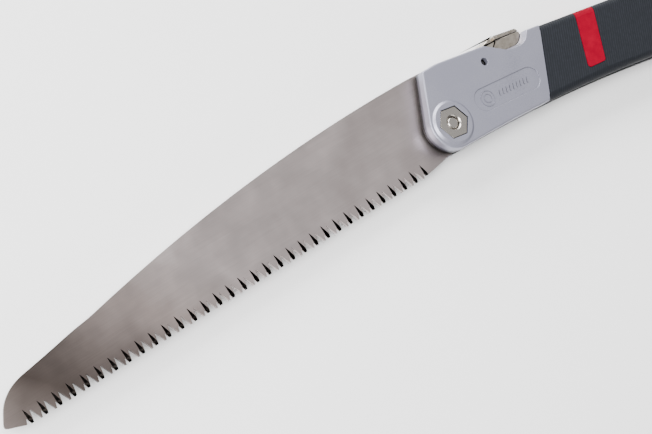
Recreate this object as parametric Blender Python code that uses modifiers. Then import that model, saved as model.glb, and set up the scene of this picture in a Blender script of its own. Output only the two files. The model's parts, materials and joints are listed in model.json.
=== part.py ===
"""Folding pruning saw with a 210 mm class blade, a cast head, a thumb lock and a cushioned grip.

The saw lies on its far side. X runs from the blade's tip to the butt, Y from the teeth to the
blade's back, and Z is the blade pivot's axis. Outlines are in millimetres from that axis, with
z = 0 in the middle of the blade, and MM turns them into metres.
"""

import math

import bmesh
import bpy
from mathutils import Matrix, Vector

MM = 0.001
GAP = 0.3

# Blade
BLADE_HALF = 0.65
BACK_CENTRE = (-12.7, -815.1)
BACK_RADIUS = 842.2
BACK_FROM = -184.0
BACK_TO = -3.0
TOOTH_PAIRS = 32
PAIR_PITCH = 6.38
HEEL_GULLET = -21.9
TOOTH_TIP = -14.1
TOOTH_PAIR = ((0.0, -11.6, 0.3), (1.0, TOOTH_TIP, 0.4), (3.5, -9.3, 0.4), (5.0, TOOTH_TIP, 0.5))
TOOTH_RISE = 0.003
TANG_RADIUS = 11.4
EAR_RADIUS = 20.0
EAR_WIDTH = 2.0

# Pivot
BUSH_OUTER = 5.0
BUSH_INNER = 4.3
WASHER_RADIUS = 8.6
WASHER_LOW = BLADE_HALF + GAP
BOLT_SHOULDER = 4.0
BOLT_THREAD = 2.7
BOLT_HEAD = 7.0
NUT_FLATS = 13.0
NUT_TURN = math.radians(22)
NUT_FLOOR = 4.2
NUT_HIGH = 9.5

# Head and frame
SLOT_HALF = 1.9
FACE = 9.0
HEAD_RADIUS = 11.8
HEAD_EDGE = 1.0
FRONT_SLOPE = math.radians(62.8)
TOP_AT_PIVOT = 27.45
TOP_SLOPE = -0.1378
HEAD_TOP = 26.2
BELLY_SLOPE = -0.0195
BELLY_BEND = -0.000568
SEAM_LOW = (52.0, -14.35)
SEAM_HIGH = (69.6, 17.9)
BOSS_FOOT = 10.3
BOSS_TOP = 9.2
BOSS_HIGH = 9.8
LABEL_CENTRE = (34.7, 0.2)
LABEL_SIZE = (38.5, 10.8)
LABEL_TURN = math.radians(-4.8)
LABEL_DEEP = 0.3
SCOOP_FLARE = 1.8

# Lock lever
LEVER_PIN = (31.8, 16.0)
PIN_RADIUS = 1.5
LEVER_HALF = 1.55
PAD_HALF = 5.0
NOSE_ANGLE = math.radians(70)
NOSE_HALF = 1.2
NOSE_DEEP = 2.1
RIDGE_PITCH = 1.7
RIDGE_COUNT = 8
RIDGE_HIGH = 0.45
SPRING_X = 50.0
SPRING_LOW = 10.0
SPRING_HIGH = 15.6
SPRING_RADIUS = 2.5
SPRING_WIRE = 0.35
SPRING_TURNS = 4

# Handle
GRIP_EDGE = 3.2
CORE_INSET = 2.5
CORE_FACE = 6.8
FOLD = math.radians(173)
ROOF_CLEAR = 1.9
SPINE_FROM = 63.5
SPINE_TO = 236.3
SLOT_END = 237.5
RIVET_PLACES = (74.0, 122.0, 170.0, 218.0)
RIVET_RADIUS = 1.8
RIVET_HEAD = 3.0
EYELET = (245.5, -33.0)
EYELET_OUTER = 4.1
EYELET_INNER = 3.3
INLAY_DEEP = 1.0


# ---------------------------------------------------------------- outlines

def arc(centre, radius, start, end, steps):
    """Points along a round stretch, from one angle in degrees to another."""
    angles = [math.radians(start + (end - start) * i / steps) for i in range(steps + 1)]
    return [(centre[0] + radius * math.cos(a), centre[1] + radius * math.sin(a)) for a in angles]


def rounded(corners, steps=5):
    """Outline through corners (x, y, radius), with each corner that has a radius as an arc."""
    points = []
    for i, (x, y, radius) in enumerate(corners):
        if not radius:
            points.append((x, y))
            continue
        here = Vector((x, y))
        back = (Vector(corners[i - 1][:2]) - here).normalized()
        ahead = (Vector(corners[(i + 1) % len(corners)][:2]) - here).normalized()
        half = back.angle(ahead) / 2
        centre = here + (back + ahead).normalized() * radius / math.sin(half)
        start = here + back * radius / math.tan(half) - centre
        turn = start.angle_signed(here + ahead * radius / math.tan(half) - centre)
        for k in range(steps + 1):
            spoke = Matrix.Rotation(-turn * k / steps, 2) @ start
            points.append(tuple(centre + spoke))
    return points


def circle(centre, radius, sides=24):
    """Closed round outline."""
    return arc(centre, radius, 0, 360, sides)[:-1]


def inset(points, distance):
    """The same closed outline moved inwards (points run anticlockwise)."""
    moved = []
    for i, point in enumerate(points):
        here = Vector(point)
        before = (here - Vector(points[i - 1])).normalized()
        after = (Vector(points[(i + 1) % len(points)]) - here).normalized()
        left = Vector((-before.y, before.x)) + Vector((-after.y, after.x))
        moved.append(tuple(here + left * distance / (1 + before.dot(after))))
    return moved


def turned_points(points, angle, centre=(0.0, 0.0)):
    """Points turned about a centre."""
    turn = Matrix.Rotation(angle, 2)
    return [tuple(turn @ (Vector(p) - Vector(centre)) + Vector(centre)) for p in points]


def top_edge(x):
    """Height of the handle's straight top edge."""
    return TOP_AT_PIVOT + TOP_SLOPE * x


def belly(x):
    """Height of the handle's bottom edge, a shallow parabola that starts under the pivot."""
    return -HEAD_RADIUS + BELLY_SLOPE * x + BELLY_BEND * x * x


def seam_x(y):
    """The slanted seam where the bare head meets the grip."""
    share = (y - SEAM_LOW[1]) / (SEAM_HIGH[1] - SEAM_LOW[1])
    return SEAM_LOW[0] + share * (SEAM_HIGH[0] - SEAM_LOW[0])


def handle_path(shrink=0.0):
    """Grip outline, anticlockwise, from a blunt front end that lies well inside the head."""
    lower = [(38, belly(38), 5)] + [(x, belly(x), 0) for x in range(52, 148, 12)]
    butt = [(170, -31.0, 300), (212, -35.4, 50), (236, -48.5, 14), (255, -48.0, 10),
            (255.4, -10.0, 22), (224, top_edge(224), 40)]
    return inset(rounded(lower + butt + [(55.6, top_edge(55.6), 5)]), shrink)


def behind_seam(points):
    """The part of the grip outline that lies behind the seam, from its lower to its upper end."""
    return [p for p in points if p[0] > seam_x(p[1]) + 1]


def on_core_front(kept, dropped):
    """Where the stretch between two outline points crosses the core's slanted front."""
    ahead = kept[0] - seam_x(kept[1]) + GAP
    behind = dropped[0] - seam_x(dropped[1]) + GAP
    return tuple(Vector(kept).lerp(Vector(dropped), ahead / (ahead - behind)))


def core_outline():
    """The core inside the grip, which starts just ahead of the seam."""
    path = handle_path(CORE_INSET)
    kept = behind_seam(path)
    before = path[path.index(kept[0]) - 1]
    after = path[path.index(kept[-1]) + 1]
    return [on_core_front(kept[0], before)] + kept + [on_core_front(kept[-1], after)]


def head_outline():
    """Outline from the seam's top, anticlockwise round the pivot, to the seam's bottom."""
    normal = FRONT_SLOPE + math.pi / 2
    touch = (HEAD_RADIUS * math.cos(normal), HEAD_RADIUS * math.sin(normal))
    rise = (HEAD_TOP - touch[1]) / math.sin(FRONT_SLOPE)
    corner = (touch[0] + rise * math.cos(FRONT_SLOPE), HEAD_TOP)
    crown = [(9, HEAD_TOP + 0.05, 20), (corner[0], corner[1], 1.4), (touch[0], touch[1], 0)]
    top = rounded([SEAM_HIGH + (0,)] + crown)
    nose = arc((0, 0), HEAD_RADIUS, math.degrees(normal), 270, 10)
    return top + nose[1:] + [(x, belly(x)) for x in (13, 26, 39, 50)] + [SEAM_LOW]


# ---------------------------------------------------------------- solids

def link(name, mesh, collection):
    solid = bpy.data.objects.new(name, mesh)
    collection.objects.link(solid)
    return solid


def curve_mesh(name, curve, height=0.0):
    """Turn a curve into a welded mesh at a height."""
    guide = link(name + "_guide", curve, SAW)
    guide.location.z = height
    bpy.context.view_layer.update()
    mesh = bpy.data.meshes.new_from_object(guide.evaluated_get(bpy.context.evaluated_depsgraph_get()))
    mesh.transform(guide.matrix_world)
    bpy.data.objects.remove(guide)
    mesh.name = name
    bm = bmesh.new()
    bm.from_mesh(mesh)
    bmesh.ops.remove_doubles(bm, verts=bm.verts, dist=0.00001)
    bmesh.ops.recalc_face_normals(bm, faces=bm.faces)
    bm.to_mesh(mesh)
    bm.free()
    return mesh


def plate(name, outline, low, high, collection, holes=()):
    """Flat solid between two heights, with any holes right through it."""
    curve = bpy.data.curves.new(name, "CURVE")
    curve.dimensions = "2D"
    curve.fill_mode = "BOTH"
    curve.extrude = (high - low) / 2 * MM
    for loop in [outline] + list(holes):
        spline = curve.splines.new("POLY")
        spline.points.add(len(loop) - 1)
        for point, (x, y) in zip(spline.points, loop):
            point.co = (x * MM, y * MM, 0, 1)
        spline.use_cyclic_u = True
    return link(name, curve_mesh(name, curve, (low + high) / 2 * MM), collection)


def cushion(name, outline, half, radius, segments, collection):
    """Plate centred on z = 0, with its rims rounded all the way round."""
    solid = plate(name, outline, -half, half, collection)
    bm = bmesh.new()
    bm.from_mesh(solid.data)
    bmesh.ops.dissolve_limit(bm, angle_limit=0.0005, verts=bm.verts, edges=bm.edges)
    rim = [e for e in bm.edges if abs(e.verts[0].co.z - e.verts[1].co.z) < 1e-6]
    bmesh.ops.bevel(bm, geom=rim, offset=radius * MM, segments=segments, profile=0.5,
                    affect="EDGES", clamp_overlap=False)
    bmesh.ops.triangulate(bm, faces=[f for f in bm.faces if len(f.verts) > 4])
    bm.to_mesh(solid.data)
    bm.free()
    return solid


def drum(name, centre, radius, low, high, sides=32, collection=None, top_radius=None, turn=0.0):
    """Upright cylinder or cone."""
    bm = bmesh.new()
    bmesh.ops.create_cone(bm, cap_ends=True, segments=sides, radius1=radius * MM,
                          radius2=(top_radius or radius) * MM, depth=(high - low) * MM)
    bmesh.ops.rotate(bm, verts=bm.verts, matrix=Matrix.Rotation(turn, 3, "Z"))
    bmesh.ops.translate(bm, verts=bm.verts,
                        vec=(centre[0] * MM, centre[1] * MM, (low + high) / 2 * MM))
    mesh = bpy.data.meshes.new(name)
    bm.to_mesh(mesh)
    bm.free()
    return link(name, mesh, collection or CUTTERS)


def turned(name, profile, centre, steps=32):
    """Round piece from (radius, height) points that run down its outer side."""
    mesh = bpy.data.meshes.new(name)
    closed = min(r for r, z in profile) > 0
    edges = [(i, i + 1) for i in range(len(profile) - 1)]
    if closed:
        edges.append((len(profile) - 1, 0))
    mesh.from_pydata([(r * MM, 0, z * MM) for r, z in profile], edges, [])
    piece = link(name, mesh, SAW)
    piece.location = (centre[0] * MM, centre[1] * MM, 0)
    screw = piece.modifiers.new("turn", "SCREW")
    screw.steps = steps
    screw.render_steps = steps
    screw.use_merge_vertices = True
    screw.merge_threshold = 0.00001
    screw.use_normal_calculate = False
    return piece


def combine(target, tool, operation="DIFFERENCE", solver="EXACT"):
    """Cut, join or overlap with another solid, which then stays as a hidden guide."""
    tool.hide_render = True
    tool.display_type = "WIRE"
    for owner in list(tool.users_collection):
        owner.objects.unlink(tool)
    CUTTERS.objects.link(tool)
    step = target.modifiers.new(tool.name, "BOOLEAN")
    step.operation = operation
    step.object = tool
    step.solver = solver


def settle(solid):
    """Apply a solid's modifiers, so that it can be cut into others or measured."""
    bpy.context.view_layer.update()
    done = bpy.data.meshes.new_from_object(solid.evaluated_get(bpy.context.evaluated_depsgraph_get()))
    solid.modifiers.clear()
    solid.data = done
    bm = bmesh.new()
    bm.from_mesh(done)
    bmesh.ops.remove_doubles(bm, verts=bm.verts, dist=0.00002)
    bmesh.ops.dissolve_degenerate(bm, dist=0.00001, edges=bm.edges)
    bm.to_mesh(done)
    bm.free()


def move_origin(solid, point):
    """Put a piece's origin on its own joint axis."""
    solid.data.transform(Matrix.Translation((-point[0] * MM, -point[1] * MM, 0)))
    solid.location = (point[0] * MM, point[1] * MM, 0)


def finish(solid, colour, metallic, roughness):
    """Give a piece its own material."""
    surface = bpy.data.materials.new(solid.name)
    surface.use_nodes = True
    shader = surface.node_tree.nodes["Principled BSDF"]
    shader.inputs["Base Color"].default_value = (*colour, 1)
    shader.inputs["Metallic"].default_value = metallic
    shader.inputs["Roughness"].default_value = roughness
    solid.data.materials.clear()
    solid.data.materials.append(surface)
    return solid


# ---------------------------------------------------------------- blade and pivot

def nose_frame():
    """Place of the lever's nose, its lift direction and the direction across it."""
    place = Vector((math.cos(NOSE_ANGLE), math.sin(NOSE_ANGLE))) * EAR_RADIUS
    arm = (place - Vector(LEVER_PIN)).normalized()
    lift = Vector((arm.y, -arm.x))
    return place, lift, Vector((lift.y, -lift.x))


def tooth_line():
    """Pairs of teeth from the heel to the tip: shallow gullet, tooth, deep gullet, tooth."""
    points = []
    for i in range(TOOTH_PAIRS + 1):
        for step, depth, land in TOOTH_PAIR:
            place = HEEL_GULLET - PAIR_PITCH * i - step
            height = depth + TOOTH_RISE * (HEEL_GULLET - place)
            points += [(place + land / 2, height), (place - land / 2, height)]
    return points[:-6]


def blade_outline():
    """Clockwise from the tip, along the back, round the tang, and back along the teeth."""
    nose = [(-227.0, -12.5), (-233.6, -10.6), (-234.7, -9.4), (-233.2, -6.3), (-230.8, -2.6),
            (-228.0, 0.0), (-224.5, 2.1), (-220.0, 3.6), (-214.0, 4.6), (-204.0, 6.3), (-194.0, 8.1)]
    turn = [math.degrees(math.acos((x - BACK_CENTRE[0]) / BACK_RADIUS)) for x in (BACK_FROM, BACK_TO)]
    back = arc(BACK_CENTRE, BACK_RADIUS, turn[0], turn[1], 16)
    place, lift, across = nose_frame()
    wall = place - across * (NOSE_HALF + GAP)
    floor = place - lift * (NOSE_DEEP + GAP)
    ear = place + across * (NOSE_HALF + GAP)
    shoulder = [wall + lift * 7.6 - across * 0.8, wall + lift * 6.8]
    notch = [floor - across * (NOSE_HALF + GAP), floor + across * (NOSE_HALF + GAP)]
    ear_top = [ear + lift * 0.1, ear + across * EAR_WIDTH - lift * 0.6,
               ear + across * (EAR_WIDTH - 0.2) - lift * 2.8]
    tang = [tuple(p) for p in shoulder + notch + ear_top]
    rim = arc((0, 0), TANG_RADIUS, 38, -100, 14)
    heel = [(-6.0, -11.3), (-10.0, -12.0), (-15.0, -12.8), (-19.0, -13.3), (-20.5, -13.6)]
    return nose + back + tang + rim + heel + tooth_line()


def make_blade():
    bore = circle((0, 0), BUSH_OUTER + GAP, 32)
    blade = plate("blade", blade_outline(), -BLADE_HALF, BLADE_HALF, SAW, [bore])
    finish(blade, (0.40, 0.37, 0.36), 1.0, 0.35)


def make_pivot():
    steel = ((0.42, 0.41, 0.39), 1.0, 0.3)
    top = NUT_HIGH - 0.6
    low = -FACE + GAP
    bolt = turned("pivot_bolt", [(0, top), (BOLT_THREAD - 0.5, top), (BOLT_THREAD, top - 0.5),
                                 (BOLT_THREAD, NUT_FLOOR), (BOLT_SHOULDER, NUT_FLOOR),
                                 (BOLT_SHOULDER, low + 2.5), (BOLT_HEAD, low + 2.5),
                                 (BOLT_HEAD, low + 0.6), (BOLT_HEAD - 0.6, low), (0, low)], (0, 0))
    settle(bolt)
    combine(bolt, drum("bolt_socket", (0, 0), 2.9, low - 1, low + 2, sides=6))
    finish(bolt, *steel)

    corner = NUT_FLATS / 2 / math.cos(math.pi / 6)
    nut = drum("pivot_nut", (0, 0), corner, NUT_FLOOR + GAP, NUT_HIGH, 6, SAW, turn=NUT_TURN)
    chamfer = [(0, NUT_HIGH + 1), (corner - 1.7, NUT_HIGH + 1), (corner + 1.2, NUT_HIGH - 0.65),
               (corner + 1.2, NUT_FLOOR - 1), (0, NUT_FLOOR - 1)]
    cone = turned("nut_chamfer", chamfer, (0, 0))
    settle(cone)
    combine(nut, cone, "INTERSECT")
    hole = turned("nut_hole", [(0, NUT_HIGH + 0.5), (4.1, NUT_HIGH + 0.5), (3.0, NUT_HIGH - 0.6),
                               (3.0, NUT_FLOOR - 1), (0, NUT_FLOOR - 1)], (0, 0))
    settle(hole)
    combine(nut, hole)
    finish(nut, *steel)

    end = SLOT_HALF - GAP
    bush = turned("pivot_bush", [(BUSH_OUTER, end), (BUSH_OUTER, -end), (BUSH_INNER, -end),
                                 (BUSH_INNER, end)], (0, 0))
    finish(bush, (0.55, 0.40, 0.18), 1.0, 0.4)
    for name, side in (("near_washer", 1), ("far_washer", -1)):
        high = max(side * WASHER_LOW, side * end)
        low = min(side * WASHER_LOW, side * end)
        ring = turned(name, [(WASHER_RADIUS, high), (WASHER_RADIUS, low), (BUSH_OUTER + GAP, low),
                             (BUSH_OUTER + GAP, high)], (0, 0))
        finish(ring, (0.60, 0.58, 0.50), 1.0, 0.35)


# ---------------------------------------------------------------- head and frame

def flared_scoop(side):
    """Cutter for the thumb scoop over the lever, with walls that lean outwards to the face."""
    name = "near_scoop" if side > 0 else "far_scoop"
    outer = rounded([(24, 29.7, 0), (47.0, 14.4, 9), (57.2, 13.5, 8), (65.2, 21.5, 0), (66, 31, 0)])
    inner = inset(outer, SCOOP_FLARE)
    low, high = sorted((side * PAD_HALF, side * (FACE + 1)))
    cutter = plate(name, inner, low, high, CUTTERS)
    for vertex in cutter.data.vertices:
        if abs(vertex.co.z) > FACE * MM:
            nearest = min(range(len(inner)), key=lambda i: (Vector(inner[i]) * MM - vertex.co.xy).length)
            vertex.co.xy = Vector(outer[nearest]) * MM
    return cutter


def cut_between(half, name, outline, side, low, high):
    """Cut an outline out of one frame half between two distances from the blade."""
    ends = sorted((side * low, side * high))
    combine(half, plate(name, outline, ends[0], ends[1], CUTTERS))


def cut_round(half, name, centre, radius, side, low, high, sides=24, turn=0.0):
    ends = sorted((side * low, side * high))
    combine(half, drum(name, centre, radius, ends[0], ends[1], sides, turn=turn))


def frame_half(prefix, side):
    """One cast half: the bare head in front, and a slimmer core inside the grip."""
    block = [(seam_x(30) - GAP, 30), (-20, 30), (-20, -20), (seam_x(-20) - GAP, -20)]
    low, high = sorted((side * SLOT_HALF, side * (FACE + 2)))
    bores = [circle((0, 0), BOLT_SHOULDER + GAP, 32), circle(LEVER_PIN, PIN_RADIUS + GAP),
             circle(EYELET, EYELET_OUTER + GAP)]
    bores += [circle((x, rivet_y(x)), RIVET_RADIUS + GAP, 20) for x in RIVET_PLACES]
    half = plate(prefix + "_frame_half", block + core_outline(), low, high, SAW, bores)
    combine(half, HEAD_FORM, "INTERSECT")
    behind = [(300, -90), (300, 60), (seam_x(60), 60), (seam_x(-90), -90)]
    cut_between(half, prefix + "_step", behind, side, CORE_FACE, FACE + 3)

    pocket = [(37.2, 40), (37.2, 9.7), (62.2, 9.7), (62.2, 40)]
    cut_between(half, prefix + "_pocket", pocket, side, SLOT_HALF - 1, PAD_HALF + GAP)
    combine(half, flared_scoop(side))
    for i, x in enumerate(RIVET_PLACES):
        place = (x, rivet_y(x))
        cut_round(half, f"{prefix}_rivet_seat_{i + 1}", place, RIVET_HEAD + GAP, side, 5.2, FACE, 20)
    return half


def make_frame():
    """Both halves take the head's outer form, which has softly rounded rims."""
    near = frame_half("near", 1)
    wide = BOSS_FOOT + (BOSS_FOOT - BOSS_TOP) * 0.5 / (BOSS_HIGH - FACE)
    boss = turned("pivot_boss", [(0, BOSS_HIGH), (BOSS_TOP, BOSS_HIGH), (wide, FACE - 0.5),
                                 (wide, NUT_FLOOR + 2), (0, NUT_FLOOR + 2)], (0, 0), 48)
    settle(boss)
    combine(near, boss, "UNION")
    pocket = (NUT_FLATS / 2 + GAP) / math.cos(math.pi / 6)
    cut_round(near, "nut_pocket", (0, 0), pocket, 1, NUT_FLOOR, FACE + 2, 6, NUT_TURN)
    width, depth = LABEL_SIZE
    badge = [(sx * width / 2, sy * depth / 2, depth / 2 - 0.01)
             for sx, sy in ((-1, -1), (1, -1), (1, 1), (-1, 1))]
    badge = [(x + LABEL_CENTRE[0], y + LABEL_CENTRE[1]) for x, y in rounded(badge, 8)]
    badge = turned_points(badge, LABEL_TURN, LABEL_CENTRE)
    cut_between(near, "label_recess", badge, 1, FACE - LABEL_DEEP, FACE + 1)

    far = frame_half("far", -1)
    cut_round(far, "bolt_head_seat", (0, 0), BOLT_HEAD + GAP, -1, FACE - 3.1, FACE + 1, 32)
    for half in (near, far):
        settle(half)
        finish(half, (0.37, 0.38, 0.41), 0.9, 0.38)


def roof(x):
    """Underside of the spine, just above the teeth of the folded blade."""
    lean = math.pi - FOLD
    return -TOOTH_TIP / math.cos(lean) + ROOF_CLEAR - x * math.tan(lean)


def rivet_y(x):
    """Rivets lie in the middle of the spine."""
    return (roof(x) + top_edge(x) - CORE_INSET) / 2


def make_spacers():
    top = [(x, top_edge(x) - CORE_INSET) for x in (SPINE_TO - 12, SPINE_FROM)]
    tail = (SPINE_TO, top_edge(SPINE_TO) - CORE_INSET - 1.2)
    ends = [(SPINE_FROM, roof(SPINE_FROM)), (SPINE_TO, roof(SPINE_TO)), tail]
    thick = SLOT_HALF - GAP
    holes = [circle((x, rivet_y(x)), RIVET_RADIUS + GAP, 20) for x in RIVET_PLACES]
    spine = plate("handle_spine", ends + top, -thick, thick, SAW, holes)
    finish(spine, (0.35, 0.35, 0.35), 1.0, 0.45)

    body = [p for p in handle_path(CORE_INSET) if p[0] > SLOT_END + 1]
    block = [(SLOT_END + GAP, body[0][1] + 0.1)] + body + [(SLOT_END + GAP, body[-1][1] + 0.3)]
    hole = circle(EYELET, EYELET_OUTER + GAP)
    spacer = plate("tail_spacer", block, -thick, thick, SAW, [hole])
    finish(spacer, (0.03, 0.03, 0.03), 0.0, 0.6)

    end = CORE_FACE - GAP
    for i, x in enumerate(RIVET_PLACES):
        shank = [(0, end), (RIVET_HEAD - 0.4, end), (RIVET_HEAD, end - 0.4), (RIVET_HEAD, 5.5),
                 (RIVET_RADIUS, 5.5)]
        mirrored = [(r, -z) for r, z in reversed(shank)]
        rivet = turned(f"frame_rivet_{i + 1}", shank + mirrored, (x, rivet_y(x)), 20)
        finish(rivet, (0.40, 0.40, 0.40), 1.0, 0.35)

    lip = FACE - 0.2
    tube = [(EYELET_OUTER - 0.3, lip), (EYELET_OUTER, lip - 0.3), (EYELET_OUTER, 0.3 - lip),
            (EYELET_OUTER - 0.3, -lip), (EYELET_INNER, -lip), (EYELET_INNER, lip)]
    finish(turned("tail_eyelet", tube, EYELET), (0.45, 0.45, 0.45), 1.0, 0.3)


# ---------------------------------------------------------------- lock lever

def make_lever():
    place, lift, across = nose_frame()
    hook = [place - lift * NOSE_DEEP + across * NOSE_HALF, place + lift * 0.5 + across * NOSE_HALF]
    front = [place + lift * 3.6 - across * NOSE_HALF, place - lift * NOSE_DEEP - across * NOSE_HALF]
    arm = [(p.x, p.y, 0) for p in hook]
    arm += [(12, 19.0, 6), (27.5, 12.2, 4), (35.5, 12.0, 3), (44, 14.5, 0), (44, 20.5, 0)]
    arm += [(28, 21.2, 8)] + [(front[0].x, front[0].y, 0.8), (front[1].x, front[1].y, 0)]
    lever = plate("lock_lever", rounded(arm, 4), -LEVER_HALF, LEVER_HALF, SAW)

    cheek = [(37.8, 14.2, 1.5), (59.8, 13.2, 2.5), (60.6, 20.5, 0.8), (46.3, 21.9, 0.5),
             (44.6, 22.5, 0.5), (43.7, 24.2, 0.7), (42.2, 24.3, 1.0), (37.8, 22.4, 0.5)]
    combine(lever, cushion("lever_block", rounded(cheek, 3), PAD_HALF, 0.4, 1, CUTTERS), "UNION")

    pad = [(46.9, 21.4), (60.3, 20.2), (60.5, 20.9), (59.9, 21.5)]
    for i in reversed(range(RIDGE_COUNT)):
        x = 46.6 + RIDGE_PITCH * i
        y = 24.55 - 0.0015 * (x - 46) ** 2 - 0.13 * (x - 46)
        pad += [(x + RIDGE_PITCH * 0.8, y - RIDGE_HIGH - 0.2), (x + RIDGE_PITCH * 0.4, y)]
        pad += [(x, y - RIDGE_HIGH)]
    serrated = plate("thumb_pad", pad, -PAD_HALF + 0.25, PAD_HALF - 0.25, CUTTERS)
    combine(lever, serrated, "UNION")

    combine(lever, drum("lever_bore", LEVER_PIN, PIN_RADIUS + GAP, -4, 4, 24))
    well = drum("spring_well", (0, 0), SPRING_RADIUS + SPRING_WIRE + GAP, 0, 5, 24)
    well.rotation_euler.x = -math.pi / 2
    well.location = (SPRING_X * MM, 11.2 * MM, 0)
    combine(lever, well)
    settle(lever)
    move_origin(lever, LEVER_PIN)
    finish(lever, (0.36, 0.33, 0.31), 1.0, 0.35)

    pin = [(0, 6.5), (PIN_RADIUS - 0.3, 6.5), (PIN_RADIUS, 6.2), (PIN_RADIUS, -6.2),
           (PIN_RADIUS - 0.3, -6.5), (0, -6.5)]
    finish(turned("lever_pin", pin, LEVER_PIN, 20), (0.30, 0.30, 0.30), 1.0, 0.35)


def make_spring():
    """Coil that lifts the thumb pad, on an axis along Y."""
    curve = bpy.data.curves.new("lever_spring", "CURVE")
    curve.dimensions = "3D"
    curve.bevel_depth = SPRING_WIRE * MM
    curve.bevel_resolution = 2
    curve.use_fill_caps = True
    steps = SPRING_TURNS * 14
    spline = curve.splines.new("POLY")
    spline.points.add(steps)
    for i, point in enumerate(spline.points):
        angle = 2 * math.pi * SPRING_TURNS * i / steps
        rise = SPRING_LOW + SPRING_WIRE + (SPRING_HIGH - SPRING_LOW - 2 * SPRING_WIRE) * i / steps
        point.co = ((SPRING_X + SPRING_RADIUS * math.cos(angle)) * MM, rise * MM,
                    SPRING_RADIUS * math.sin(angle) * MM, 1)
    spring = link("lever_spring", curve_mesh("lever_spring", curve), SAW)
    finish(spring, (0.45, 0.45, 0.45), 1.0, 0.3)


# ---------------------------------------------------------------- grip

def grip_form(name, depth, collection):
    """The grip's outer form, or the same form lying a little deeper."""
    return cushion(name, handle_path(depth), FACE - depth, GRIP_EDGE - depth, 3, collection)


def band(grow):
    """Slanted inlay band with rounded lower corners."""
    corners = [(80.8, -11.2, 1.4), (91.8, -12.2, 1.4), (105.2, 19.0, 0), (93.0, 19.0, 0)]
    return inset(rounded(corners, 4), -grow)


def make_grip():
    sleeve = grip_form("grip_sleeve", 0.0, SAW)
    front = [(seam_x(40) + GAP, 40), (0, 40), (0, -40), (seam_x(-40) + GAP, -40)]
    combine(sleeve, plate("grip_front", front, -FACE - 2, FACE + 2, CUTTERS))
    hollow = handle_path(CORE_INSET - GAP)
    combine(sleeve, plate("grip_hollow", hollow, -CORE_FACE - GAP, CORE_FACE + GAP, CUTTERS))
    mouth = [(40, -70), (SLOT_END, -70), (SLOT_END, roof(SLOT_END) - 4), (40, 0)]
    combine(sleeve, plate("grip_mouth", mouth, -SLOT_HALF, SLOT_HALF, CUTTERS))
    seat = plate("inlay_seat", band(GAP), -FACE - 2, FACE + 2, CUTTERS)
    combine(seat, grip_form("inlay_floor", INLAY_DEEP + GAP, CUTTERS), solver="MANIFOLD")
    settle(seat)
    combine(sleeve, seat)
    combine(sleeve, drum("grip_eyelet_hole", EYELET, EYELET_OUTER + GAP, -FACE - 2, FACE + 2))
    settle(sleeve)
    finish(sleeve, (0.045, 0.050, 0.060), 0.0, 0.75)

    inlay = grip_form("grip_inlay", 0.0, SAW)
    combine(inlay, plate("inlay_band", band(0.0), -FACE - 2, FACE + 2, CUTTERS), "INTERSECT")
    combine(inlay, grip_form("inlay_core", INLAY_DEEP, CUTTERS))
    settle(inlay)
    finish(inlay, (0.48, 0.005, 0.035), 0.0, 0.5)


# ---------------------------------------------------------------- assembly

def collect(name):
    collection = bpy.data.collections.new(name)
    bpy.context.scene.collection.children.link(collection)
    return collection


def stand_on_floor():
    """Shift the whole saw so that the middle of its underside is the world's origin."""
    base = bpy.data.objects.new("pivot_axis", None)
    SAW.objects.link(base)
    bpy.context.view_layer.update()
    depsgraph = bpy.context.evaluated_depsgraph_get()
    pieces = [piece for piece in SAW.objects if piece.type == "MESH"]
    corners = []
    for piece in pieces:
        solid = piece.evaluated_get(depsgraph)
        corners += [solid.matrix_world @ vertex.co for vertex in solid.data.vertices]
    for piece in pieces + list(CUTTERS.objects):
        piece.parent = base
    low = [min(c[i] for c in corners) for i in range(3)]
    high = [max(c[i] for c in corners) for i in range(3)]
    base.location = (-(low[0] + high[0]) / 2, -(low[1] + high[1]) / 2, -low[2])
    bpy.context.view_layer.update()
    print("pivot axis at", [round(v, 6) for v in base.location])


for leftover in list(bpy.data.objects):
    bpy.data.objects.remove(leftover)
SAW = collect("folding_pruning_saw")
CUTTERS = collect("cutters")

HEAD_FORM = cushion("head_form", head_outline()[1:-1] + behind_seam(handle_path()), FACE,
                    HEAD_EDGE, 2, CUTTERS)
make_blade()
make_pivot()
make_frame()
make_spacers()
make_lever()
make_spring()
make_grip()
stand_on_floor()
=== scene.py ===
import json
import math

import bmesh
import bpy
from mathutils import Matrix, Vector


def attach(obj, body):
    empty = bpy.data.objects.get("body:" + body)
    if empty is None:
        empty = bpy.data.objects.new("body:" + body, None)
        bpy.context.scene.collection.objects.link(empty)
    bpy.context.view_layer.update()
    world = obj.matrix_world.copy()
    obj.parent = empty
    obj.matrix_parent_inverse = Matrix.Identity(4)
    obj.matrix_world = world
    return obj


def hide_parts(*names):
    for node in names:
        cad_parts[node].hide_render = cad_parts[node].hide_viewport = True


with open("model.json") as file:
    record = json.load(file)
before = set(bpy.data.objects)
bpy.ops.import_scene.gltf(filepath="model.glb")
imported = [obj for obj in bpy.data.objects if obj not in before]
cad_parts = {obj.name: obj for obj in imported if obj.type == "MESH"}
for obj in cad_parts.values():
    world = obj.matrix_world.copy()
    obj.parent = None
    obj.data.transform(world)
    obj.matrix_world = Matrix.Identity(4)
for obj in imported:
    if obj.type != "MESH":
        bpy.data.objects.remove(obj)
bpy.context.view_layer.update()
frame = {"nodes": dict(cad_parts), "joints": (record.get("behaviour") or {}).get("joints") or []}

# ---------------------------------------------------------------- bench, light and camera
# The saw lies flat on a pale bench with its blade swung open, under large soft lamps.
# Sizes are in millimetres from the pivot's axis, which the record gives in metres.

PIVOT = Vector(next(j for j in frame["joints"] if j["name"] == "blade_fold")["pos_m"])
MM = 0.001


def at(x, y, z=0.0):
    """A place given in millimetres from the pivot, in metres."""
    return PIVOT + Vector((x, y, z)) * MM


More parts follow.
